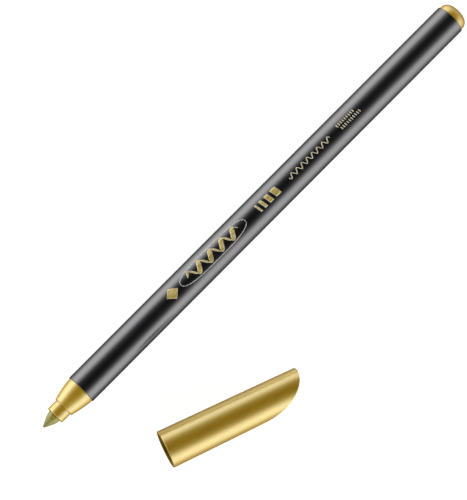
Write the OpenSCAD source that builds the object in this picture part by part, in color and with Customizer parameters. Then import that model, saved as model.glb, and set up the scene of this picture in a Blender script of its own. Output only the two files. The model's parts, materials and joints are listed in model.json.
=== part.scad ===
// Fibre-tip metallic ink marker with a pull-off cap.
// The frame has +X along the pen from nib to rear plug and +Z up.
// The origin is the middle of the barrel on the pen's own axis.
// The pen and its loose cap lie on the plane z = -barrel_d / 2.

/* [View] */
// Which separate piece to draw, or all of them
// Smoothness of the round faces
smoothness = 64; // [32:8:128]

/* [Barrel] */
// Outside diameter of the barrel, in mm
barrel_d = 8.5; // [7:0.1:12]
// Length of the barrel tube, in mm
barrel_len = 136; // [100:0.1:150]
// Wall of the barrel tube, in mm
barrel_wall = 0.8; // [0.6:0.05:1.2]
// Rounding of the barrel's two outer edges, in mm
barrel_edge = 0.15; // [0.05:0.05:0.4]
// Number of ribs that centre the ink reservoir
rib_count = 4; // [3:1:6]
// Width of one centring rib, in mm
rib_width = 0.6; // [0.4:0.1:1]
// Length of the centring ribs, in mm
rib_len = 96; // [60:1:110]

/* [Nib holder] */
// Diameter of the small collar round the nib, in mm
collar_d = 5.1; // [4:0.1:6]
// Length of the small collar, in mm
collar_len = 3.1; // [2:0.1:5]
// Rounding of the collar's front edge, in mm
collar_edge = 0.25; // [0.1:0.05:0.8]
// Width of the narrow groove behind the collar, in mm
groove_width = 0.2; // [0.1:0.05:0.4]
// Depth of the narrow groove behind the collar, in mm
groove_depth = 0.16; // [0.05:0.01:0.25]
// Cone diameter at its front shoulder, in mm
cone_front_d = 5.9; // [5.2:0.1:7]
// Cone diameter where it meets the barrel, in mm
cone_rear_d = 8.1; // [7:0.1:8.5]
// Length of the cone, in mm
cone_len = 6.3; // [4:0.1:10]
// How far the cone's flank bulges out past a straight line, in mm
cone_bulge = 0.16; // [0:0.02:0.4]
// Rounding of the cone's front shoulder, in mm
cone_edge = 0.25; // [0.1:0.05:0.5]
// Length of the spigot held inside the barrel, in mm
holder_spigot_len = 8.7; // [6:0.1:14]
// Number of air flutes along the nib's bore
flute_count = 3; // [2:1:6]
// Width of one air flute, in mm
flute_width = 0.5; // [0.3:0.1:0.8]
// Depth of one air flute past the nib's bore, in mm
flute_depth = 0.3; // [0.2:0.05:0.5]

/* [Nib] */
// Diameter of the fibre rod, in mm
nib_d = 3.5; // [2:0.1:4]
// Length of the rod that stands out of the collar, in mm
nib_out = 4.1; // [2:0.1:6]
// Radius of the rounded writing point, in mm
nib_tip_r = 0.42; // [0.2:0.02:1]
// Half angle of the writing cone, in degrees
nib_half_angle = 24.5; // [15:0.5:35]
// Radius at which the writing cone curves over into the rod, in mm
nib_knee_r = 1.54; // [1.2:0.02:1.6]
// Full length of the fibre rod, in mm
nib_len = 34; // [25:1:45]
// Length of the rod's tapered rear end, in mm
nib_tail_len = 8; // [4:0.5:12]
// Radius of the rod's rear end, in mm
nib_tail_r = 1.1; // [0.6:0.1:1.4]

/* [Ink reservoir] */
// Diameter of the fibre ink reservoir, in mm
core_d = 6; // [5:0.1:6.5]
// Length of the fibre ink reservoir, in mm
core_len = 114.2; // [80:0.1:120]
// Thickness of the plastic film round the reservoir, in mm
film_t = 0.12; // [0.08:0.01:0.2]
// How far the film stops short of each end of the reservoir, in mm
film_short = 1; // [0.5:0.1:3]
// Outside diameter of the breather tube, in mm
breather_d = 1.1; // [0.8:0.05:1.5]
// Inside diameter of the breather tube, in mm
breather_bore = 0.7; // [0.4:0.05:1]
// Length of the breather tube, in mm
breather_len = 74; // [50:1:80]
// Distance of the breather tube from the pen's axis, in mm
breather_offset = 2.3; // [2.2:0.05:2.4]
// Room left round the breather tube in its groove, in mm
breather_gap = 0.07; // [0.03:0.01:0.15]

/* [Rear plug] */
// Diameter of the plug's dome at the barrel, in mm
dome_d = 8; // [7:0.1:8.5]
// How far the dome stands out of the barrel, in mm
dome_h = 3; // [2:0.1:5]
// Length of the dome's nearly straight side, in mm
dome_side = 1.1; // [0.5:0.1:2]
// Diameter where the side curves over into the dome, in mm
dome_top_d = 7.66; // [6:0.02:8]
// Wall of the plug's hollow spigot, in mm
plug_wall = 0.85; // [0.6:0.05:1.2]

/* [Cap] */
// Diameter of the cap at its mouth, in mm
cap_mouth_d = 10.2; // [9.5:0.1:14]
// Diameter of the cap at its closed end, in mm
cap_end_d = 9.4; // [8:0.1:12]
// Length of the cap, in mm
cap_len = 39.1; // [30:0.05:60]
// Rounding of the cap's mouth, in mm
cap_lip = 0.2; // [0.1:0.05:0.4]
// Radial room between the cap's bore and the barrel, in mm
cap_gap = 0.06; // [0.02:0.01:0.1]
// Length of the bore that grips the barrel, in mm
cap_bore_len = 14; // [8:0.5:20]
// How far the barrel goes into the closed cap, in mm
cap_overlap = 13; // [6:0.5:16]
// Bore that clears the cone, in mm across
cap_seat_d = 8.3; // [8.2:0.05:8.5]
// Depth of the shoulder that the seal rests on, in mm
cap_seat_depth = 22.6; // [18:0.1:26]
// Bore of the hollow beyond the seal, in mm across
cap_hollow_d = 7; // [6:0.1:7.5]
// Length half axis of the curved end cut, in mm
cut_half_len = 13.2; // [8:0.02:20]
// Depth half axis of the curved end cut, in mm
cut_half_depth = 9.22; // [6:0.01:12]
// How far the end cut's centre is from the axis, in mm
cut_offset = 4.4; // [0:0.01:6]
// Distance of the cut's start from the cap's mouth, in mm
cut_start = 20.5; // [10:0.5:26]
// Wall behind the curved end cut, in mm
cut_wall = 1.1; // [0.8:0.05:1.5]
// Number of flat strips that make the curved end cut
cut_steps = 20; // [8:1:40]

/* [Cap seal] */
// Bore of the seal that closes on the collar, in mm
seal_bore = 5.2; // [5:0.02:5.5]
// Length of the seal's closed cup, in mm
seal_cup_len = 6; // [5:0.1:8]
// Thickness of the cup's closed end, in mm
seal_end = 0.8; // [0.6:0.1:1.5]
// Room between the flange and the cone's shoulder when closed, in mm
seal_gap = 0.1; // [0.05:0.05:0.5]
// Radial room between the seal and the cap's bores, in mm
seal_fit = 0.01; // [0:0.01:0.05]

/* [Where the cap lies] */
// Position of the loose cap's mouth behind the nib's point, in mm
cap_x = 17.7; // [0:0.05:60]
// Distance of the loose cap's mouth beside the pen, in mm
cap_y = 25.98; // [15:0.02:60]
// Angle between the loose cap and the pen, in degrees
cap_yaw = 19.72; // [0:0.02:60]

/* [Hidden] */
$fn = smoothness;
eps = 0.02;
barrel_r = barrel_d / 2;
bore_r = barrel_r - barrel_wall;
barrel_front = -barrel_len / 2;
barrel_rear = barrel_len / 2;
collar_front = barrel_front - cone_len - collar_len;
cone_front = barrel_front - cone_len;
nib_point = collar_front - nib_out;
nib_r = nib_d / 2;
core_r = core_d / 2;
core_front = barrel_front + holder_spigot_len;
core_rear = core_front + core_len;
film_r = core_r + film_t;
rib_top = film_r + 0.03;
rib_root = bore_r + barrel_wall / 2;
rib_front = core_front + 4;
breather_front = core_front + 2;
groove_r = breather_d / 2 + breather_gap;
plug_front = core_rear;
cap_mouth_r = cap_mouth_d / 2;
cap_end_r = cap_end_d / 2;
cap_half_angle = atan((cap_mouth_r - cap_end_r) / cap_len);
cap_bore_r = barrel_r + cap_gap;
cap_seat_r = cap_seat_d / 2;
cap_hollow_r = cap_hollow_d / 2;
seal_front = cap_overlap + cone_len + seal_gap;
seal_flange_r = cap_seat_r - seal_fit;
seal_cup_r = cap_hollow_r - seal_fit;
seal_shoulder = cap_seat_depth;
seal_rear = seal_shoulder + seal_cup_len;

// Points on a circular arc, as [radius, height] pairs.
function arc(cr, ch, r, from, to, steps) =
    [for (i = [0:steps]) let (t = from + (to - from) * i / steps) [cr + r * cos(t), ch + r * sin(t)]];

// Radius of the cone's gently bulging flank at a share of its length.
function flank_r(t) =
    (cone_front_d + (cone_rear_d - cone_front_d) * t) / 2 + 4 * cone_bulge * t * (1 - t);

// Height of the cap's outside above its axis at a distance from the mouth.
function cap_r(x) = cap_mouth_r + (cap_end_r - cap_mouth_r) * x / cap_len;

// Turns a [radius, height] outline round the pen's axis.
module turned(outline) {
    rotate([0, 90, 0])
        rotate_extrude()
            polygon(outline);
}

// A plain round bar along the pen's axis from one station to another.
module bar(from, to, r) {
    translate([from, 0, 0])
        rotate([0, 90, 0])
            cylinder(h = to - from, r = r);
}

// Puts a piece modelled from the cap's mouth at the place where the cap lies.
module lying_cap() {
    translate([nib_point + cap_x, -cap_y, -barrel_r + cap_mouth_r * cos(cap_half_angle)])
        rotate([0, cap_half_angle, -cap_yaw])
            children();
}

// Side outline of the cap's curved end cut, as seen square to the cut.
module cut_outline(half_len, half_depth, start, reach) {
    steps = cut_steps;
    centre = cap_len - cut_half_len;
    curve = [for (i = [0:steps]) let (t = 84 - 96 * i / steps)
        [centre + half_len * cos(t), half_depth * sin(t) - cut_offset]];
    polygon(concat([[-1, -cap_mouth_r - 1], [-1, reach], [start, reach]], curve,
                   [[centre + half_len * cos(12), -cap_mouth_r - 1]]));
}

// Black tube that carries everything else, ribbed inside.
module barrel() {
    color([0.04, 0.04, 0.045])
    union() {
        turned(concat(
            [[bore_r, barrel_front]],
            arc(barrel_r - barrel_edge, barrel_front + barrel_edge, barrel_edge, -90, 0, 3),
            arc(barrel_r - barrel_edge, barrel_rear - barrel_edge, barrel_edge, 0, 90, 3),
            [[bore_r, barrel_rear]]));
        for (i = [0:rib_count - 1])
            rotate([360 * (i + 0.5) / rib_count, 0, 0])
                translate([rib_front, -rib_width / 2, rib_top])
                    cube([rib_len, rib_width, rib_root - rib_top]);
    }
}

// Gold front section: collar, cone and the spigot pressed into the barrel.
module nib_holder() {
    color([0.80, 0.62, 0.24])
    difference() {
        turned(concat(
            [[0, collar_front]],
            arc(collar_d / 2 - collar_edge, collar_front + collar_edge, collar_edge, -90, 0, 4),
            [[collar_d / 2, cone_front - groove_width],
             [collar_d / 2 - groove_depth, cone_front - groove_width],
             [collar_d / 2 - groove_depth, cone_front]],
            arc(cone_front_d / 2 - cone_edge, cone_front + cone_edge, cone_edge, -90, 0, 3),
            [for (i = [1:6]) [flank_r(i / 6), cone_front + cone_edge + (cone_len - cone_edge) * i / 6]],
            [[bore_r, barrel_front], [bore_r, core_front], [0, core_front]]));
        bar(collar_front - 1, core_front + 1, nib_r);
        for (i = [0:flute_count - 1])
            rotate([360 * i / flute_count, 0, 0])
                translate([collar_front - 1, -flute_width / 2, 0])
                    cube([core_front - collar_front + 2, flute_width, nib_r + flute_depth]);
    }
}

// Outline of the fibre rod, used for the rod and for its hole in the reservoir.
function nib_outline() =
    let (knee_x = nib_tip_r * (1 - sin(nib_half_angle))
             + (nib_knee_r - nib_tip_r * cos(nib_half_angle)) / tan(nib_half_angle))
    concat(
        [[0, nib_point]],
        arc(0, nib_point + nib_tip_r, nib_tip_r, -75, -nib_half_angle, 4),
        [[nib_knee_r, nib_point + knee_x],
         [nib_knee_r + 0.15, nib_point + knee_x + 0.42],
         [nib_r, nib_point + knee_x + 0.95],
         [nib_r, nib_point + nib_len - nib_tail_len],
         [nib_tail_r, nib_point + nib_len],
         [0, nib_point + nib_len]]);

// Fibre rod with a bullet point and a tapered tail that draws ink.
module nib() {
    color([0.62, 0.55, 0.22])
    turned(nib_outline());
}

// Fibre reservoir with the nib's hole and the breather tube's open groove.
module reservoir_core() {
    color([0.86, 0.80, 0.55])
    difference() {
        bar(core_front, core_rear, core_r);
        turned(nib_outline());
        translate([core_front - 1, 0, breather_offset])
            rotate([0, 90, 0])
                cylinder(h = core_len + 2, r = groove_r);
        translate([core_front - 1, -groove_r, breather_offset])
            cube([core_len + 2, 2 * groove_r, core_r]);
    }
}

// Thin plastic film wrapped round the reservoir.
module reservoir_film() {
    color([0.93, 0.94, 0.95, 0.5])
    difference() {
        bar(core_front + film_short, core_rear - film_short, film_r);
        bar(core_front, core_rear, core_r);
    }
}

// Thin air tube that lies in the reservoir's groove.
module breather_tube() {
    color([0.95, 0.95, 0.93])
    translate([breather_front, 0, breather_offset])
        rotate([0, 90, 0])
            difference() {
                cylinder(h = breather_len, r = breather_d / 2);
                translate([0, 0, -1])
                    cylinder(h = breather_len + 2, r = breather_bore / 2);
            }
}

// Gold rear plug: dome outside, hollow spigot that holds the reservoir inside.
module end_plug() {
    shoulder_r = dome_top_d / 2;
    corner = 1.25;
    color([0.80, 0.62, 0.24])
    difference() {
        turned(concat(
            [[0, plug_front], [bore_r, plug_front], [bore_r, barrel_rear]],
            [[dome_d / 2, barrel_rear], [dome_d / 2 - 0.02, barrel_rear + 0.3]],
            arc(shoulder_r - corner, barrel_rear + dome_side, corner, 0, 55, 5),
            [[shoulder_r - 1.32, barrel_rear + dome_h - 0.44],
             [shoulder_r - 2.1, barrel_rear + dome_h - 0.17],
             [shoulder_r - 3, barrel_rear + dome_h - 0.03],
             [0, barrel_rear + dome_h]]));
        bar(plug_front - 1, barrel_rear + 0.4, bore_r - plug_wall);
    }
}

// Gold cap with a tapered outside and a long curved cut at its closed end.
module cap_shell() {
    color([0.80, 0.62, 0.24])
    lying_cap()
    difference() {
        intersection() {
            turned(concat(
                [[0, 0]],
                arc(cap_mouth_r - cap_lip, cap_lip, cap_lip, -90, 0, 3),
                [[cap_end_r, cap_len], [0, cap_len]]));
            mirror([0, 1, 0])
                translate([0, 0, -cap_mouth_r - 1])
                    linear_extrude(height = cap_mouth_d + 2)
                        cut_outline(cut_half_len, cut_half_depth, cut_start, cap_r(cut_start));
        }
        bar(-1, cap_bore_len, cap_bore_r);
        bar(cap_bore_len - eps, cap_seat_depth, cap_seat_r);
        intersection() {
            bar(cap_seat_depth - eps, cap_len, cap_hollow_r);
            mirror([0, 1, 0])
                translate([0, 0, -cap_mouth_r - 1])
                    linear_extrude(height = cap_mouth_d + 2)
                        cut_outline(cut_half_len - cut_wall, cut_half_depth - cut_wall,
                                    cut_start, cap_r(cut_start));
        }
    }
}

// Soft inner cup that seals on the collar so that the nib doesn't dry.
module cap_liner() {
    color([0.90, 0.90, 0.86])
    lying_cap()
    difference() {
        union() {
            bar(seal_front, seal_shoulder, seal_flange_r);
            bar(seal_shoulder - eps, seal_rear, seal_cup_r);
        }
        bar(seal_front - 1, seal_rear - seal_end, seal_bore / 2);
    }
}

barrel();
nib_holder();
nib();
reservoir_core();
reservoir_film();
breather_tube();
end_plug();
cap_shell();
cap_liner();
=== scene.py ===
"""Looks for the fibre-tip metallic marker and its loose cap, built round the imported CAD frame."""

import json
import math

import bmesh
import bpy
from mathutils import Matrix, Vector


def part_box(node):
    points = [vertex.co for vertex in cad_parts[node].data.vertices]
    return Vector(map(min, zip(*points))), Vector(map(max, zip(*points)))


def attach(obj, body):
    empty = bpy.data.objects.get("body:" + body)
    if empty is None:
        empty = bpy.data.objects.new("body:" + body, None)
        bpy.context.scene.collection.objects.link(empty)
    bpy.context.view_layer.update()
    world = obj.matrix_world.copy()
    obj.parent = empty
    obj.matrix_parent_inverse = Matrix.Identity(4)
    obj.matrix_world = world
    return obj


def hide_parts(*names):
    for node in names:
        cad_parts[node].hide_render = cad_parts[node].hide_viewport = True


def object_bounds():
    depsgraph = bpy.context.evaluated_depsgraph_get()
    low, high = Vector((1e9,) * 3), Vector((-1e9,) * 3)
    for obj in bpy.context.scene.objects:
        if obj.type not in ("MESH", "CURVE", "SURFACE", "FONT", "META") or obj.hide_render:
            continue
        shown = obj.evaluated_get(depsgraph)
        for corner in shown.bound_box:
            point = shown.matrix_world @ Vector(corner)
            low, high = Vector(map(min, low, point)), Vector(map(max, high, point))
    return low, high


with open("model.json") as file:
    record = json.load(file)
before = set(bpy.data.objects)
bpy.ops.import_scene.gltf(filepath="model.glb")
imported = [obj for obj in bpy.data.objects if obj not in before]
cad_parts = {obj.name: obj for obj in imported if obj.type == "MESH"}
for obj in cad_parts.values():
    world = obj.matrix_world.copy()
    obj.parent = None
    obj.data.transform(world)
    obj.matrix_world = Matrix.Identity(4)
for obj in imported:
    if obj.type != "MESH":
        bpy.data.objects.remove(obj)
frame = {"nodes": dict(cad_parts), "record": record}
cad_lo, cad_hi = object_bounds()

MM = 0.001

# ---------------------------------------------------------------- measures
barrel_lo, barrel_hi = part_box("barrel")
holder_lo, holder_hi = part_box("nib_holder")
nib_lo, nib_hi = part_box("nib")
plug_lo, plug_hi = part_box("end_plug")

R_BARREL = (barrel_hi[2] - barrel_lo[2]) / 2 / MM
X_BARREL0, X_BARREL1 = barrel_lo[0] / MM, barrel_hi[0] / MM
X_COLLAR = holder_lo[0] / MM
X_SPIGOT = holder_hi[0] / MM
X_NIB0, X_NIB1 = nib_lo[0] / MM, nib_hi[0] / MM
X_PLUG0, X_PLUG1 = plug_lo[0] / MM, plug_hi[0] / MM
R_NIB = (nib_hi[2] - nib_lo[2]) / 2 / MM
R_CONE = (holder_hi[2] - holder_lo[2]) / 2 / MM
R_DOME = 4.0
R_BORE = 3.45
PLUG_WALL = 0.85

CONE_LEN = 6.3
CONE_BULGE = 0.16
X_CONE = X_BARREL0 - CONE_LEN
R_COLLAR = 2.55
R_SHOULDER = 2.95
GROOVE_WIDTH, GROOVE_DEPTH = 0.20, 0.16
FLUTES, FLUTE_HALF_WIDTH = 3, 0.25
NIB_TIP_R, NIB_TAIL_LEN, NIB_TAIL_R = 0.42, 8, 1.1

MOUNTS = {m["name"]: m for m in frame["record"]["mounts"]}
cap_mount = MOUNTS["cap_mouth"]
CAP_OUT = Vector(cap_mount["axis"]).normalized()
CAP_X = -CAP_OUT
CAP_Y = Vector((0, 0, 1)).cross(CAP_X).normalized()
CAP_Z = CAP_X.cross(CAP_Y)
CAP_BORE_MIDDLE = 7
CAP_ORIGIN = Vector(cap_mount["pos_m"]) + CAP_OUT * CAP_BORE_MIDDLE * MM
CAP_FRAME = Matrix.Translation(CAP_ORIGIN) @ Matrix((CAP_X, CAP_Y, CAP_Z)).transposed().to_4x4()
R_GRIP = cap_mount["dims"]["r_mm"]
GRIP_LEN = cap_mount["dims"]["length_mm"]
CAP_LEN, R_MOUTH, R_END = 39.1, 5.1, 4.7
CUT_A, CUT_B, CUT_OFF = 13.2, 9.22, 4.4
CUT_START = 20.5
CUT_JOIN = 0.104
CAP_LIP = 0.2
SEAT_END, R_SEAT, R_HOLLOW = 22.6, 4.15, 3.5
PEN_FRAME = Matrix.Identity(4)


# ---------------------------------------------------------------- outlines
def rounded(points, steps=6):
    """Outline through (x, r, fillet) points with each corner rounded by its fillet."""
    out = []
    for i, (x, r, f) in enumerate(points):
        p = Vector((x, r))
        if f <= 0 or i in (0, len(points) - 1):
            out.append(p)
            continue
        a = Vector(points[i - 1][:2]) - p
        b = Vector(points[i + 1][:2]) - p
        a.normalize()
        b.normalize()
        half = math.acos(max(-1, min(1, a.dot(b)))) / 2
        if abs(half - math.pi / 2) < 1e-3:
            out.append(p)
            continue
        back = f / math.tan(half)
        centre = p + (a + b).normalized() * (f / math.sin(half))
        start, end = p + a * back - centre, p + b * back - centre
        turn = math.atan2(start.x * end.y - start.y * end.x, start.dot(end))
        for k in range(steps + 1):
            t = turn * k / steps
            c, s = math.cos(t), math.sin(t)
            out.append(centre + Vector((start.x * c - start.y * s, start.x * s + start.y * c)))
    return out


def dense(outline, longest):
    """Adds points so that no stretch of an outline is longer than asked."""
    out = [outline[0]]
    for a, b in zip(outline, outline[1:]):
        n = max(1, math.ceil((b - a).length / longest))
        out += [a.lerp(b, k / n) for k in range(1, n + 1)]
    return out


def finish_mesh(name, bm, place, material, body, replaces=(), weighted=True, second=None):
    """Turns a bmesh in millimetres into a named piece on its body."""
    bmesh.ops.remove_doubles(bm, verts=bm.verts, dist=1e-5)
    bmesh.ops.recalc_face_normals(bm, faces=bm.faces)
    for v in bm.verts:
        v.co = place @ (v.co * MM)
    mesh = bpy.data.meshes.new(name)
    bm.to_mesh(mesh)
    bm.free()
    mesh.polygons.foreach_set("use_smooth", [True] * len(mesh.polygons))
    obj = bpy.data.objects.new(name, mesh)
    bpy.context.scene.collection.objects.link(obj)
    obj.data.materials.append(material)
    if second:
        obj.data.materials.append(second)
    if weighted:
        wn = obj.modifiers.new("normals", "WEIGHTED_NORMAL")
        wn.keep_sharp = True
        wn.weight = 80
    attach(obj, body)
    if replaces:
        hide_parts(*replaces)
    return obj


def lathe(outline, segments=128, shape=None):
    """Turns an outline of (x, r) round the x axis. shape(i, angle, x, r) may move a point."""
    bm = bmesh.new()
    rings = []
    for i, p in enumerate(outline):
        x, r = p[0], p[1]
        if r < 1e-4:
            rings.append([bm.verts.new((x, 0, 0))])
            continue
        ring = []
        for k in range(segments):
            a = 2 * math.pi * k / segments
            xx, rr = shape(i, a, x, r) if shape else (x, r)
            ring.append(bm.verts.new((xx, rr * math.sin(a), rr * math.cos(a))))
        rings.append(ring)
    for a, b in zip(rings, rings[1:]):
        for k in range(segments):
            j = (k + 1) % segments
            if len(a) == 1 and len(b) == 1:
                break
            if len(a) == 1:
                bm.faces.new((a[0], b[j], b[k]))
            elif len(b) == 1:
                bm.faces.new((a[k], a[j], b[0]))
            else:
                bm.faces.new((a[k], a[j], b[j], b[k]))
    return bm


# ---------------------------------------------------------------- materials
class Nodes:
    """Small helper that builds a material's node tree."""

    def __init__(self, name):
        self.mat = bpy.data.materials.new(name)
        self.mat.use_nodes = True
        self.tree = self.mat.node_tree
        self.tree.nodes.clear()
        self.out = self.add("ShaderNodeOutputMaterial")
        self.bsdf = self.add("ShaderNodeBsdfPrincipled")
        self.link(self.bsdf, "BSDF", self.out, "Surface")
        self.coord = self.add("ShaderNodeTexCoord")

    def add(self, kind, **props):
        n = self.tree.nodes.new(kind)
        for k, v in props.items():
            setattr(n, k, v)
        return n

    def link(self, a, out, b, into):
        self.tree.links.new(a.outputs[out], b.inputs[into])

    def set(self, **values):
        for k, v in values.items():
            self.bsdf.inputs[k.replace("_", " ")].default_value = v

    def scaled(self, sx, sy, sz, turn=(0, 0, 0)):
        m = self.add("ShaderNodeMapping")
        m.inputs["Scale"].default_value = (sx, sy, sz)
        m.inputs["Rotation"].default_value = turn
        self.link(self.coord, "Object", m, "Vector")
        return m

    def noise(self, scale, detail=3, rough=0.5, space=None):
        n = self.add("ShaderNodeTexNoise")
        n.inputs["Scale"].default_value = scale
        n.inputs["Detail"].default_value = detail
        n.inputs["Roughness"].default_value = rough
        n.inputs["Distortion"].default_value = 0
        src = space or self.coord
        self.link(src, "Vector" if space else "Object", n, "Vector")
        return n

    def voronoi(self, scale):
        n = self.add("ShaderNodeTexVoronoi", feature="F1")
        n.inputs["Scale"].default_value = scale
        self.link(self.coord, "Object", n, "Vector")
        return n

    def ramp(self, source, out, stops):
        n = self.add("ShaderNodeValToRGB")
        e = n.color_ramp.elements
        while len(e) < len(stops):
            e.new(0.5)
        for el, (p, c) in zip(e, stops):
            el.position = p
            el.color = (*c, 1) if isinstance(c, tuple) else (c, c, c, 1)
        self.link(source, out, n, "Fac")
        return n

    def mix(self, fac, a, b, blend="MIX"):
        """Mixes two colours; each may be a colour tuple or a (node, output) pair."""
        n = self.add("ShaderNodeMix", data_type="RGBA", blend_type=blend)
        for key, val in ((0, fac), (6, a), (7, b)):
            if isinstance(val, tuple) and isinstance(val[0], bpy.types.Node):
                self.tree.links.new(val[0].outputs[val[1]], n.inputs[key])
            elif key == 0:
                n.inputs[0].default_value = val
            else:
                n.inputs[key].default_value = (*val, 1)
        return n

    def math(self, op, a, b=0.0):
        n = self.add("ShaderNodeMath", operation=op)
        for key, val in ((0, a), (1, b)):
            if isinstance(val, tuple):
                self.tree.links.new(val[0].outputs[val[1]], n.inputs[key])
            else:
                n.inputs[key].default_value = val
        return n

    def bump(self, source, out, distance, strength=1.0, below=None):
        n = self.add("ShaderNodeBump")
        n.inputs["Strength"].default_value = strength
        n.inputs["Distance"].default_value = distance
        self.link(source, out, n, "Height")
        if below:
            self.link(below, "Normal", n, "Normal")
        return n


def black_plastic():
    m = Nodes("satin_black_plastic")
    cloud = m.noise(90, 4, 0.6)
    colour = m.ramp(cloud, "Fac", [(0.3, (0.0026, 0.0024, 0.0032)), (0.7, (0.0046, 0.0042, 0.0054))])
    dust = m.ramp(m.noise(5200, 2, 0.7), "Fac", [(0.70, 0.0), (0.80, 1.0)])
    dusted = m.mix((dust, "Color"), (colour, "Color"), (0.008, 0.008, 0.009))
    m.tree.links.new(dusted.outputs[2], m.bsdf.inputs["Base Color"])
    rub = m.noise(1, 4, 0.65, m.scaled(35, 1500, 1500))
    rough = m.ramp(rub, "Fac", [(0.32, 0.21), (0.62, 0.26), (0.80, 0.34)])
    m.link(rough, "Color", m.bsdf, "Roughness")
    peel = m.bump(m.noise(1900, 3, 0.55), "Fac", 0.000010, 0.5)
    drag = m.bump(rub, "Fac", 0.000004, 0.35, peel)
    m.link(drag, "Normal", m.bsdf, "Normal")
    m.set(IOR=2.50, Specular_Tint=(1.0, 0.98, 1.0, 1))
    return m.mat


def gold_plastic(name, deep, bright, tint, ior, coat, coat_rough=0.24, rough=(0.39, 0.50)):
    """Pearl lacquer over moulded plastic: warm body colour, broad golden sheen, clear neutral gloss."""
    m = Nodes(name)
    flake = m.voronoi(9500)
    tone = m.ramp(m.math("MULTIPLY", (flake, "Color"), 1.0), "Value", [(0.15, deep), (0.85, bright)])
    cloud = m.ramp(m.noise(70, 4, 0.6), "Fac", [(0.35, (0.93, 0.92, 0.90)), (0.68, (1.0, 1.0, 1.0))])
    colour = m.mix(1.0, (tone, "Color"), (cloud, "Color"), "MULTIPLY")
    m.tree.links.new(colour.outputs[2], m.bsdf.inputs["Base Color"])
    smear = m.noise(1, 4, 0.6, m.scaled(60, 1100, 1100))
    matt = m.ramp(smear, "Fac", [(0.30, rough[0]), (0.70, rough[1])])
    m.link(matt, "Color", m.bsdf, "Roughness")
    grain = m.bump(flake, "Distance", 0.000006, 0.30)
    peel = m.bump(m.noise(1500, 3, 0.5), "Fac", 0.000012, 0.45, grain)
    m.link(peel, "Normal", m.bsdf, "Normal")
    m.set(IOR=ior, Specular_Tint=(*tint, 1), Coat_Weight=1.0, Coat_Roughness=coat_rough, Coat_IOR=coat)
    return m.mat


def bore_painted_shade():
    m = Nodes("cap_inner_wall_painted_shade")
    cloud = m.noise(300, 4, 0.6)
    # These browns are painted shade: the inner wall is coloured far darker than the cap's gold to stand in
    # for the dimness inside the cap, and it is given a duller gloss as well.
    tone = m.ramp(cloud, "Fac", [(0.3, (0.16, 0.095, 0.004)), (0.7, (0.24, 0.150, 0.008))])
    m.link(tone, "Color", m.bsdf, "Base Color")
    m.link(m.ramp(cloud, "Fac", [(0.3, 0.50), (0.7, 0.66)]), "Color", m.bsdf, "Roughness")
    drawn = m.noise(1, 3, 0.5, m.scaled(200, 2600, 2600))
    m.link(m.bump(drawn, "Fac", 0.00001, 0.5), "Normal", m.bsdf, "Normal")
    m.set(IOR=1.40, Specular_Tint=(1.0, 0.80, 0.30, 1))
    return m.mat


def nib_fibre():
    m = Nodes("bonded_fibre_point")
    fibres = m.noise(1, 5, 0.7, m.scaled(260, 5200, 5200))
    tone = m.ramp(fibres, "Fac", [(0.30, (0.260, 0.215, 0.012)), (0.52, (0.460, 0.395, 0.028)),
                                  (0.72, (0.660, 0.590, 0.065))])
    blot = m.ramp(m.noise(900, 4, 0.6), "Fac", [(0.40, (0.80, 0.80, 0.76)), (0.66, (1.0, 1.0, 1.0))])
    soaked = m.mix(1.0, (tone, "Color"), (blot, "Color"), "MULTIPLY")
    split = m.add("ShaderNodeSeparateXYZ")
    m.link(m.coord, "Object", split, "Vector")
    reach = m.add("ShaderNodeMapRange")
    reach.inputs["From Min"].default_value = X_NIB0 * MM
    reach.inputs["From Max"].default_value = (X_NIB0 + 3.2) * MM
    m.link(split, "X", reach, "Value")
    worn = m.ramp(reach, "Result", [(0.0, (0.62, 0.68, 0.62)), (0.55, (0.90, 0.90, 0.84)),
                                    (1.0, (1.0, 1.0, 1.0))])
    colour = m.mix(1.0, (soaked, 2), (worn, "Color"), "MULTIPLY")
    m.tree.links.new(colour.outputs[2], m.bsdf.inputs["Base Color"])
    rough = m.ramp(fibres, "Fac", [(0.3, 0.34), (0.7, 0.22)])
    m.link(rough, "Color", m.bsdf, "Roughness")
    m.link(m.bump(fibres, "Fac", 0.00004, 0.55), "Normal", m.bsdf, "Normal")
    m.set(IOR=1.85)
    return m.mat


def printed_foil(name, deep, mid, pale):
    """Hot-stamped foil: fine fleck, slow drift of tone along the pen and a little rubbing."""
    m = Nodes(name)
    fleck = m.noise(6500, 3, 0.6)
    drift = m.noise(1, 2, 0.5, m.scaled(420, 1500, 1500, (0, 0, 0.7)))
    fine = m.math("MULTIPLY", (fleck, "Fac"), 0.45)
    both = m.math("ADD", (fine, "Value"), (m.math("MULTIPLY", (drift, "Fac"), 0.55), "Value"))
    tone = m.ramp(both, "Value", [(0.36, deep), (0.50, mid), (0.62, pale)])
    m.link(tone, "Color", m.bsdf, "Base Color")
    rough = m.ramp(m.noise(2600, 2, 0.5), "Fac", [(0.3, 0.40), (0.7, 0.56)])
    m.link(rough, "Color", m.bsdf, "Roughness")
    m.link(m.bump(fleck, "Fac", 0.000004, 0.5), "Normal", m.bsdf, "Normal")
    m.set(Metallic=0.12, IOR=2.1)
    return m.mat


def soft_plastic():
    m = Nodes("natural_soft_plastic")
    cloud = m.noise(260, 4, 0.6)
    tone = m.ramp(cloud, "Fac", [(0.3, (0.70, 0.69, 0.63)), (0.7, (0.84, 0.83, 0.78))])
    m.link(tone, "Color", m.bsdf, "Base Color")
    m.link(m.ramp(cloud, "Fac", [(0.3, 0.42), (0.7, 0.58)]), "Color", m.bsdf, "Roughness")
    m.link(m.bump(m.noise(3000, 3, 0.5), "Fac", 0.00001, 0.5), "Normal", m.bsdf, "Normal")
    m.set(IOR=1.5)
    return m.mat


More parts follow.
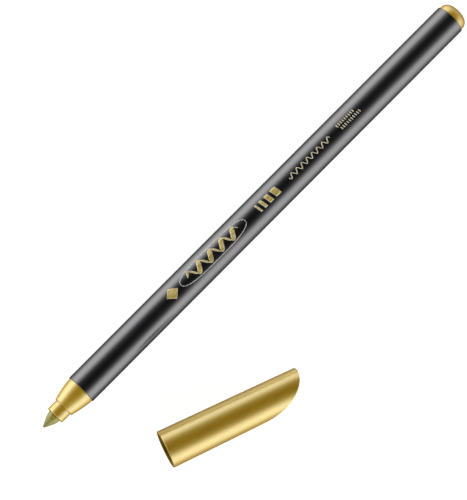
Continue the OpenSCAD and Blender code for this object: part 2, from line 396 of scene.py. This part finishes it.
def wadding():
    m = Nodes("reservoir_fibre")
    fibres = m.noise(1, 5, 0.7, m.scaled(180, 3600, 3600))
    soak = m.noise(45, 3, 0.5)
    tone = m.ramp(fibres, "Fac", [(0.30, (0.42, 0.31, 0.10)), (0.70, (0.80, 0.66, 0.32))])
    damp = m.ramp(soak, "Fac", [(0.35, (0.74, 0.70, 0.60)), (0.65, (1.0, 1.0, 1.0))])
    colour = m.mix(1.0, (tone, "Color"), (damp, "Color"), "MULTIPLY")
    m.tree.links.new(colour.outputs[2], m.bsdf.inputs["Base Color"])
    m.link(m.ramp(fibres, "Fac", [(0.3, 0.95), (0.7, 0.75)]), "Color", m.bsdf, "Roughness")
    m.link(m.bump(fibres, "Fac", 0.00006, 0.8), "Normal", m.bsdf, "Normal")
    return m.mat


def clear_film():
    m = Nodes("clear_wrap_film")
    wrinkle = m.noise(1, 4, 0.6, m.scaled(60, 500, 500))
    m.link(m.ramp(wrinkle, "Fac", [(0.3, 0.12), (0.7, 0.26)]), "Color", m.bsdf, "Roughness")
    tone = m.ramp(wrinkle, "Fac", [(0.3, (0.90, 0.92, 0.94)), (0.7, (0.97, 0.97, 0.97))])
    m.link(tone, "Color", m.bsdf, "Base Color")
    m.link(m.bump(wrinkle, "Fac", 0.00003, 0.6), "Normal", m.bsdf, "Normal")
    m.set(Alpha=0.35, IOR=1.5)
    return m.mat


BLACK = black_plastic()
GOLD_FRONT = gold_plastic("pearl_gold_plastic", deep=(0.66, 0.330, 0.0012), bright=(0.82, 0.415, 0.0030),
                          tint=(1.0, 0.98, 0.12), ior=3.3, coat=2.45, coat_rough=0.21)
GOLD_CAP = gold_plastic("pearl_gold_cap_plastic", deep=(0.52, 0.262, 0.0013), bright=(0.68, 0.345, 0.003),
                        tint=(1.0, 0.83, 0.10), ior=4.2, coat=2.36)
GOLD_PLUG = gold_plastic("pearl_gold_plug_plastic", deep=(0.72, 0.385, 0.0060), bright=(0.88, 0.480, 0.0120),
                         tint=(1.0, 1.0, 0.24), ior=2.5, coat=1.95, coat_rough=0.18, rough=(0.26, 0.36))
BORE_PAINTED_SHADE = bore_painted_shade()
FIBRE = nib_fibre()
FOIL_RIM = printed_foil("printed_pale_foil", (0.80, 0.71, 0.42), (0.92, 0.86, 0.60), (0.98, 0.96, 0.80))
FOIL_LINE = printed_foil("printed_silver_foil", (0.68, 0.68, 0.63), (0.86, 0.86, 0.81), (0.97, 0.97, 0.93))
FOIL_CORE = printed_foil("printed_gold_foil", (0.44, 0.30, 0.035), (0.78, 0.60, 0.13), (0.97, 0.86, 0.40))
SOFT = soft_plastic()
WADDING = wadding()
FILM = clear_film()


# ---------------------------------------------------------------- the pen
def build_barrel():
    edge = 0.07
    outline = rounded([
        (X_BARREL0 + 0.35, R_BORE, 0), (X_BARREL0, R_BORE + 0.12, 0.05), (X_BARREL0, R_BARREL, edge),
        (X_BARREL1, R_BARREL, edge), (X_BARREL1, R_BORE + 0.12, 0.05), (X_BARREL1 - 0.35, R_BORE, 0),
        (X_BARREL0 + 0.35, R_BORE, 0)])
    return finish_mesh("barrel_tube", lathe(dense(outline, 6), 160), PEN_FRAME, BLACK, "pen",
                       ["barrel"])


def flank(t):
    """Radius of the cone at a share t of its length."""
    return R_SHOULDER + (R_CONE - R_SHOULDER) * t + 4 * CONE_BULGE * t * (1 - t)


def build_holder():
    cone = [(X_CONE + 0.22 + (CONE_LEN - 0.22) * t, flank(t)) for t in [k / 14 for k in range(1, 15)]]
    r_groove = R_COLLAR - GROOVE_DEPTH
    mouth = [(X_SPIGOT, R_NIB, 0), (X_COLLAR + 0.45, R_NIB, 0.05), (X_COLLAR + 0.30, R_NIB + 0.24, 0.05),
             (X_COLLAR, R_NIB + 0.26, 0.05)]
    collar = [(X_COLLAR, R_COLLAR, 0.22), (X_CONE - 0.22, R_COLLAR + 0.02, 0.05),
              (X_CONE - GROOVE_WIDTH, r_groove, 0.04), (X_CONE, r_groove, 0.04), (X_CONE, R_SHOULDER, 0.16)]
    spigot = [(X_BARREL0 - 0.02, R_CONE - 0.02, 0.12), (X_BARREL0 + 0.03, R_BORE, 0.02),
              (X_SPIGOT, R_BORE, 0.15), (X_SPIGOT, R_NIB, 0)]
    outline = rounded(mouth + collar + [(x, r, 0) for x, r in cone[:-1]] + spigot)
    flute = math.asin(FLUTE_HALF_WIDTH / (R_NIB + 0.15))
    turn = 2 * math.pi

    def fluted(i, a, x, r):
        near = min(abs((a - turn * k / FLUTES + math.pi) % turn - math.pi) for k in range(FLUTES))
        if r < R_NIB + 0.27 and near < flute:
            return x, R_NIB + 0.34
        return x, r
    return finish_mesh("front_section", lathe(dense(outline, 3), 144, fluted), PEN_FRAME, GOLD_FRONT,
                       "pen", ["nib_holder"])


def build_nib():
    knee_x = X_NIB0 + 2.75
    ball = []
    for degrees in (0, 12, 24, 36, 48, 58, 66):
        a = math.radians(degrees)
        ball.append((X_NIB0 + NIB_TIP_R - NIB_TIP_R * math.cos(a), NIB_TIP_R * math.sin(a), 0))
    knee = [(knee_x, 1.56, 1.6), (knee_x + 1.0, R_NIB, 1.6)]
    tail = [(X_NIB1 - NIB_TAIL_LEN, R_NIB, 1.0), (X_NIB1, NIB_TAIL_R, 0.2), (X_NIB1, 0, 0)]
    outline = rounded(ball + knee + tail, 8)
    return finish_mesh("fibre_nib", lathe(dense(outline, 0.6), 96), PEN_FRAME, FIBRE, "pen",
                       ["nib"])


def build_plug():
    """The dome is a superellipse: fuller at its rim than a half ball."""
    high = X_PLUG1 - X_BARREL1
    dome = []
    for k in range(1, 41):
        t = math.pi / 2 * k / 40
        dome.append((X_BARREL1 + high * math.sin(t) ** (2 / 2.7), R_DOME * math.cos(t) ** (2 / 2.8), 0))
    dome[-1] = (X_BARREL1 + high, 0, 0)
    outline = rounded([
        (X_PLUG0, R_BORE - PLUG_WALL, 0), (X_PLUG0, R_BORE, 0.2), (X_BARREL1, R_BORE, 0),
        (X_BARREL1 + 0.02, R_DOME - 0.14, 0.03), (X_BARREL1 + 0.12, R_DOME, 0.06)]
        + [p for p in dome if p[0] > X_BARREL1 + 0.25], 8)
    floor_x, r_hollow = X_BARREL1 + 0.4, R_BORE - PLUG_WALL
    inner = rounded([(floor_x, 0, 0), (floor_x, r_hollow, 0.3), (X_PLUG0, r_hollow, 0)])
    return finish_mesh("rear_plug", lathe(dense(inner + outline[1:], 3), 144), PEN_FRAME, GOLD_PLUG, "pen",
                       ["end_plug"])


# ---------------------------------------------------------------- the cap
def cap_radius(x):
    """Outside radius, with the closed end's rim rounded over."""
    r = R_MOUTH + (R_END - R_MOUTH) * x / CAP_LEN
    rim = 0.35
    over = (x - (CAP_LEN - rim)) / rim
    if over > 0:
        r -= rim * (1 - math.sqrt(max(0.0, 1 - min(1, over) ** 2)))
    return r


def cut_height(x):
    """Height of the end cut above the cap's axis: a straight lead-in, then an elliptic curve."""
    centre = CAP_LEN - CUT_A
    t = (x - centre) / CUT_A
    if t <= CUT_JOIN:
        x1 = centre + CUT_A * CUT_JOIN
        h1 = CUT_B * math.sqrt(1 - CUT_JOIN ** 2) - CUT_OFF
        h0 = cap_radius(CUT_START)
        if x <= CUT_START:
            return 1e3
        return h0 + (h1 - h0) * (x - CUT_START) / (x1 - CUT_START)
    return CUT_B * math.sqrt(max(0.0, 1 - t * t)) - CUT_OFF


def half_ring(x):
    """Half a cross-section of the cap from the cut's middle round to the far side, as (h, z)."""
    fillet, flat_n, fil_n, arc_n = 0.30, 16, 8, 52
    small = math.radians(7)
    r, top = cap_radius(x), cut_height(x)
    if top > r * math.cos(small):
        pts = []
        for k in range(flat_n + fil_n + 1):
            a = small * k / (flat_n + fil_n)
            pts.append((min(top, r * math.cos(a)), r * math.sin(a)))
        start = small
    else:
        f = min(fillet, (r - top) * 0.75, (r + top) * 0.45)
        ch = top - f
        cz = math.sqrt(max(0.0, (r - f) ** 2 - ch * ch))
        start = math.atan2(cz, ch)
        pts = [(top, cz * k / flat_n) for k in range(flat_n)]
        for k in range(fil_n + 1):
            a = start * k / fil_n
            pts.append((ch + f * math.cos(a), cz + f * math.sin(a)))
    for k in range(1, arc_n + 1):
        a = start + (math.pi - start) * k / arc_n
        pts.append((r * math.cos(a), r * math.sin(a)))
    return pts


def cap_stations():
    """Places along the cap that get a ring, each with how far the rounded lip lies inside it there."""
    quarter = math.pi / 2
    found = []
    for k in range(8):
        a = quarter * k / 7
        found.append((CAP_LIP * (1 - math.cos(a)), CAP_LIP * (1 - math.sin(a))))
    x = CAP_LIP
    while x < CUT_START - 1:
        x += 1.6
        found.append((x, 0))
    bend = CAP_LEN - CUT_A + 0.1
    found += [(x + (bend - x) * k / 14, 0) for k in range(1, 15)]
    found += [(bend + (CAP_LEN - bend) * math.sin(quarter * k / 60), 0) for k in range(1, 61)]
    return found


def build_cap():
    """The outside is a stack of rings, the end a strip of faces, the bore a lathe on the same angles."""
    bm = bmesh.new()
    rings = []
    for xx, drop in cap_stations():
        half = half_ring(xx)
        if drop:
            r = cap_radius(xx)
            half = [(h * (r - drop) / r, z * (r - drop) / r) for h, z in half]
        full = half + [(h, -z) for h, z in reversed(half[1:-1])]
        rings.append([bm.verts.new((xx, -h, z)) for h, z in full])
    for a, b in zip(rings, rings[1:]):
        m = len(a)
        for k in range(m):
            j = (k + 1) % m
            bm.faces.new((a[k], a[j], b[j], b[k]))
    end = rings[-1]
    m = len(end)
    for k in range(m // 2):
        quad = (end[k], end[(k + 1) % m], end[m - 1 - k], end[(m - k) % m])
        if len(set(quad)) == 4:
            bm.faces.new(quad)
        elif len(set(quad)) == 3:
            bm.faces.new(list(dict.fromkeys(quad)))
    inner = rounded([
        (0, R_MOUTH - CAP_LIP, 0), (0, R_GRIP + 0.05, 0.04), (0.4, R_GRIP, 0.2), (GRIP_LEN, R_GRIP, 0.05),
        (GRIP_LEN + 0.2, R_SEAT, 0.05), (SEAT_END, R_SEAT, 0.05), (SEAT_END, R_HOLLOW, 0.1),
        (30.5, R_HOLLOW - 0.1, 1.2), (31.4, 0, 0)])
    ring_n = len(rings[0])
    first_angles = [math.atan2(v.co.z, -v.co.y) for v in rings[0]]
    prev = rings[0]
    for p in dense(inner, 3)[1:]:
        # Faces past the mouth take the second slot, the inner wall whose dark colour is painted shade.
        wall = 1 if p.x > 0.02 else 0
        if p.y < 1e-4:
            tip = bm.verts.new((p.x, 0, 0))
            for k in range(ring_n):
                bm.faces.new((prev[(k + 1) % ring_n], prev[k], tip)).material_index = wall
            break
        ring = [bm.verts.new((p.x, -p.y * math.cos(a), p.y * math.sin(a))) for a in first_angles]
        for k in range(ring_n):
            j = (k + 1) % ring_n
            bm.faces.new((prev[j], prev[k], ring[k], ring[j])).material_index = wall
        prev = ring
    cap = finish_mesh("cap_body", bm, CAP_FRAME, GOLD_CAP, "cap", ["cap_shell"], second=BORE_PAINTED_SHADE)
    cap.visible_glossy = False
    return cap


def build_seal():
    """A flanged cup that sits 0.01 mm clear of the cap's seat and hollow."""
    front, floor_x, end = 19.4, 27.8, 28.6
    r_bore, r_flange, r_cup = 2.6, R_SEAT - 0.01, R_HOLLOW - 0.01
    outline = rounded([
        (floor_x, 0, 0), (floor_x, r_bore, 0.3), (front + 0.3, r_bore, 0.05), (front, r_bore + 0.3, 0.1),
        (front, r_flange, 0.15), (SEAT_END, r_flange, 0.05), (SEAT_END, r_cup, 0.05), (end, r_cup, 0.4),
        (end, 0, 0)])
    return finish_mesh("cap_seal", lathe(dense(outline, 2), 96), CAP_FRAME, SOFT, "cap",
                       ["cap_liner"])


# ---------------------------------------------------------------- hidden pieces
def dress(node, material):
    """Gives a CAD node that keeps its shape a better material."""
    obj = frame["nodes"][node]
    for slot in obj.material_slots:
        slot.material = material


# ---------------------------------------------------------------- printed decoration
PRINT_LIFT, CORE_LIFT, FOIL_T = 0.012, 0.019, 0.008


class Print:
    """Thin foil shapes laid on the barrel, drawn in (x from the nib's tip, arc length round the barrel)."""

    def __init__(self, lift=PRINT_LIFT):
        self.bm = bmesh.new()
        self.r = R_BARREL + lift

    def point(self, x, a, up=0.0):
        t = a / self.r
        r = self.r + up
        return self.bm.verts.new((X_NIB0 + x, -r * math.sin(t), r * math.cos(t)))

    def ribbon(self, left, right, across=4):
        """A thin closed strip between two lists of (x, arc) points."""
        loops = []
        for (ax, ay), (bx, by) in zip(left, right):
            line = [(ax + (bx - ax) * k / across, ay + (by - ay) * k / across) for k in range(across + 1)]
            over = [self.point(x, y, FOIL_T) for x, y in line]
            loops.append(over + [self.point(x, y) for x, y in reversed(line)])
        for p, q in zip(loops, loops[1:]):
            for k in range(len(p)):
                j = (k + 1) % len(p)
                self.bm.faces.new((p[k], p[j], q[j], q[k]))
        for end in (loops[0], loops[-1]):
            for k in range(across):
                self.bm.faces.new((end[k], end[k + 1], end[-2 - k], end[-1 - k]))

    def stroke(self, points, width, trim=0.0):
        """A line along points. width is a number or a function of (share of length, direction)."""
        left, right = [], []
        last = len(points) - 1
        for i, p in enumerate(points):
            a, b = Vector(points[max(0, i - 1)]), Vector(points[min(last, i + 1)])
            d = (b - a).normalized()
            w = width(i / last, math.atan2(d.y, d.x)) if callable(width) else width
            n = Vector((-d.y, d.x)) * max(0.03, w / 2 - trim)
            left.append(Vector(p) + n)
            right.append(Vector(p) - n)
        self.ribbon(left, right)

    def bar(self, x0, x1, a0, a1, slant, trim=0.0):
        """An upright bar from x0 to x1 that leans by slant over its height."""
        rows = 10
        grow = [a0 + trim + (a1 - a0 - 2 * trim) * k / rows for k in range(rows + 1)]
        lean = [slant * (a - a0) / (a1 - a0) for a in grow]
        left = [(x0 + trim + s, a) for s, a in zip(lean, grow)]
        self.ribbon(left, [(x1 - trim + s, a) for s, a in zip(lean, grow)])

    def done(self, name, material):
        return finish_mesh(name, self.bm, PEN_FRAME, material, "pen", weighted=False)


def wave_line(x0, length, middle, height, waves, steps):
    """Points along a sine line round the barrel's upper side."""
    turn = 2 * math.pi * waves / steps
    return [(x0 + length * k / steps, middle + height * math.sin(turn * k)) for k in range(steps + 1)]


def lozenge_side(x0, length, middle, half, sign):
    """The upper (sign 1) or lower (sign -1) edge of a lozenge."""
    shares = [k / 16 for k in range(17)]
    return [(x0 + length * k, middle + sign * max(0.02, half * (1 - abs(2 * k - 1)))) for k in shares]


def build_prints():
    """Generic ornament in place of the printed wording: pale outlines under deeper gold cores."""
    mid = -0.75
    x0, x1, high = 50.0, 73.4, 2.1
    p = Print()
    loop = []
    for k in range(201):
        t = 2 * math.pi * k / 200
        c, s = math.cos(t), math.sin(t)
        loop.append(((x0 + x1) / 2 + (x1 - x0) / 2 * math.copysign(abs(c) ** 0.62, c),
                     mid + high * math.copysign(abs(s) ** 0.85, s)))
    p.stroke(loop, 0.16)
    p.done("print_frame", FOIL_LINE)

    def broad(t, way):
        return (0.26 + 1.0 * abs(math.sin(way - 0.75))) * min(1.0, 8 * min(t, 1 - t) + 0.25)

    inset = 2.6
    wave = wave_line(x0 + inset, x1 - x0 - 2 * inset, mid, -1.10, 4.5, 320)
    fine = wave_line(89.2, 15.0, -0.45, 0.60, 8, 400)
    layers = (("rim", PRINT_LIFT, 0.0, FOIL_RIM), ("core", CORE_LIFT, 0.09, FOIL_CORE))
    for layer, lift, trim, material in layers:
        p = Print(lift)
        p.stroke(wave, broad, trim)
        p.done("print_flourish_" + layer, material)
        p = Print(lift)
        half = 1.75 - trim * 1.5
        p.ribbon(lozenge_side(44.9, 4.0, mid, half, 1), lozenge_side(44.9, 4.0, mid, half, -1), 16)
        p.done("print_lozenge_" + layer, material)
        p = Print(lift)
        x = 77.6
        for w in (0.55, 0.9, 1.3, 1.75):
            p.bar(x, x + w, -1.75, 0.65, 0.40, trim)
            x += w + 0.95
        p.done("print_stroke_widths_" + layer, material)
    p = Print()
    p.stroke(fine, lambda t, way: 0.17 + 0.14 * abs(math.sin(way - 0.75)))
    p.done("print_wavy_line", FOIL_RIM)
    p = Print()
    for row, start, count in ((-1.2, 107.4, 9), (0.05, 108.0, 10)):
        for k in range(count):
            p.bar(start + 0.72 * k, start + 0.72 * k + 0.3, row - 0.38, row + 0.38, 0.12)
    p.done("print_fine_ticks", FOIL_RIM)


build_barrel()
build_holder()
build_nib()
build_plug()
build_cap()
build_seal()
dress("reservoir_core", WADDING)
dress("reservoir_film", FILM)
dress("breather_tube", SOFT)
build_prints()


# ---------------------------------------------------------------- stage, light, camera
# The closed cap's mouth hangs under the plane that the pen lies on, so the floor is set just below it.
CAP_DIP = (R_MOUTH - R_BARREL + 0.05) * MM

# Brightness of the tent by elevation in degrees, then how it changes along and across the pen.
SKY = [(-90, 0.03), (-60, 0.05), (-40, 0.15), (-24, 0.40), (-8, 0.875), (10, 1.0), (22, 0.94), (33, 0.65),
       (42, 0.30), (52, 0.09), (65, 0.02), (90, 0.003)]
SKY_STRENGTH, SKY_END, SKY_SIDE, SKY_TILT = 1.97, 0.20, 0.06, 0.04


def build_floor():
    """A pale floor that only the camera sees: it gives no shadow, bounce or reflection."""
    bm = bmesh.new()
    bmesh.ops.create_grid(bm, x_segments=8, y_segments=8, size=3.0)
    mesh = bpy.data.meshes.new("floor")
    bm.to_mesh(mesh)
    bm.free()
    floor = bpy.data.objects.new("floor", mesh)
    floor.location = (0, 0, cad_lo[2] - CAP_DIP)
    bpy.context.scene.collection.objects.link(floor)
    m = Nodes("pale_floor")
    tone = m.ramp(m.noise(3, 2, 0.5), "Fac", [(0.3, 0.86), (0.7, 0.88)])
    m.link(tone, "Color", m.bsdf, "Base Color")
    m.set(Roughness=0.9, Emission_Color=(1, 1, 1, 1), Emission_Strength=0.75)
    mesh.materials.append(m.mat)
    floor.visible_glossy = False
    floor.visible_diffuse = False
    floor.visible_shadow = False
    return floor


def build_world():
    """A soft tent: bright at the sides, dark overhead, below and at both ends of the pen."""
    world = bpy.data.worlds.new("studio")
    world.use_nodes = True
    bpy.context.scene.world = world
    t = world.node_tree
    t.nodes.clear()

    def node(kind, **props):
        n = t.nodes.new(kind)
        for k, v in props.items():
            setattr(n, k, v)
        return n

    def calc(op, a, b):
        n = node("ShaderNodeMath", operation=op)
        for i, v in enumerate((a, b)):
            if isinstance(v, (int, float)):
                n.inputs[i].default_value = v
            else:
                t.links.new(v, n.inputs[i])
        return n.outputs[0]

    coord = node("ShaderNodeTexCoord")
    split = node("ShaderNodeSeparateXYZ")
    t.links.new(coord.outputs["Generated"], split.inputs[0])
    ramp = node("ShaderNodeValToRGB")
    ramp.color_ramp.interpolation = "EASE"
    elements = ramp.color_ramp.elements
    while len(elements) < len(SKY):
        elements.new(0.5)
    for el, (degrees, value) in zip(elements, SKY):
        el.position = (math.sin(math.radians(degrees)) + 1) / 2
        el.color = (value, value, value, 1)
    height = calc("ADD", split.outputs["Z"], calc("MULTIPLY", split.outputs["Y"], SKY_TILT))
    t.links.new(calc("MULTIPLY", calc("ADD", height, 1.0), 0.5), ramp.inputs["Fac"])
    slope = calc("MAXIMUM", calc("SUBTRACT", 1.0, calc("MULTIPLY", split.outputs["X"], SKY_END)), 0.05)
    past = calc("MULTIPLY", calc("SUBTRACT", calc("ABSOLUTE", split.outputs["X"], 0.0), 0.45), 2.0)
    closed = calc("MULTIPLY", calc("MINIMUM", calc("MAXIMUM", past, 0.0), 1.0), 0.70)
    ends = calc("MULTIPLY", slope, calc("SUBTRACT", 1.0, closed))
    sides = calc("ADD", 1.0, calc("MULTIPLY", split.outputs["Y"], SKY_SIDE))
    strength = calc("MULTIPLY", calc("MULTIPLY", ends, sides), SKY_STRENGTH)
    soft = node("ShaderNodeBackground")
    t.links.new(ramp.outputs["Color"], soft.inputs["Color"])
    t.links.new(strength, soft.inputs["Strength"])
    plain = node("ShaderNodeBackground")
    plain.inputs["Color"].default_value = (1, 1, 1, 1)
    path = node("ShaderNodeLightPath")
    mix = node("ShaderNodeMixShader")
    t.links.new(path.outputs["Is Camera Ray"], mix.inputs[0])
    t.links.new(soft.outputs[0], mix.inputs[1])
    t.links.new(plain.outputs[0], mix.inputs[2])
    out = node("ShaderNodeOutputWorld")
    t.links.new(mix.outputs[0], out.inputs["Surface"])


def build_camera():
    """Near overhead from the nib's side with a long lens, rolled so that the pen rises to the right."""
    elevation, roll = math.radians(82), math.radians(-44.887)
    distance = 0.82
    target = Vector((X_NIB0 * MM + 0.0665, -0.00244, 0))
    look = Vector((math.cos(elevation), 0, -math.sin(elevation)))
    up = Vector((math.sin(elevation), 0, math.cos(elevation)))
    right = look.cross(up)
    c, s = math.cos(roll), math.sin(roll)
    right2, up2 = c * right - s * up, s * right + c * up
    data = bpy.data.cameras.new("camera")
    data.sensor_width = 36
    data.lens = 3197 / 500 * 36
    data.clip_start, data.clip_end = 0.05, 20
    cam = bpy.data.objects.new("camera", data)
    bpy.context.scene.collection.objects.link(cam)
    m = Matrix((right2, up2, -look)).transposed().to_4x4()
    m.translation = target - look * distance
    cam.matrix_world = m
    bpy.context.scene.camera = cam


build_floor()
build_world()
build_camera()
bpy.context.scene.view_settings.view_transform = "Standard"
bpy.context.scene.view_settings.look = "None"
bpy.context.view_layer.update()
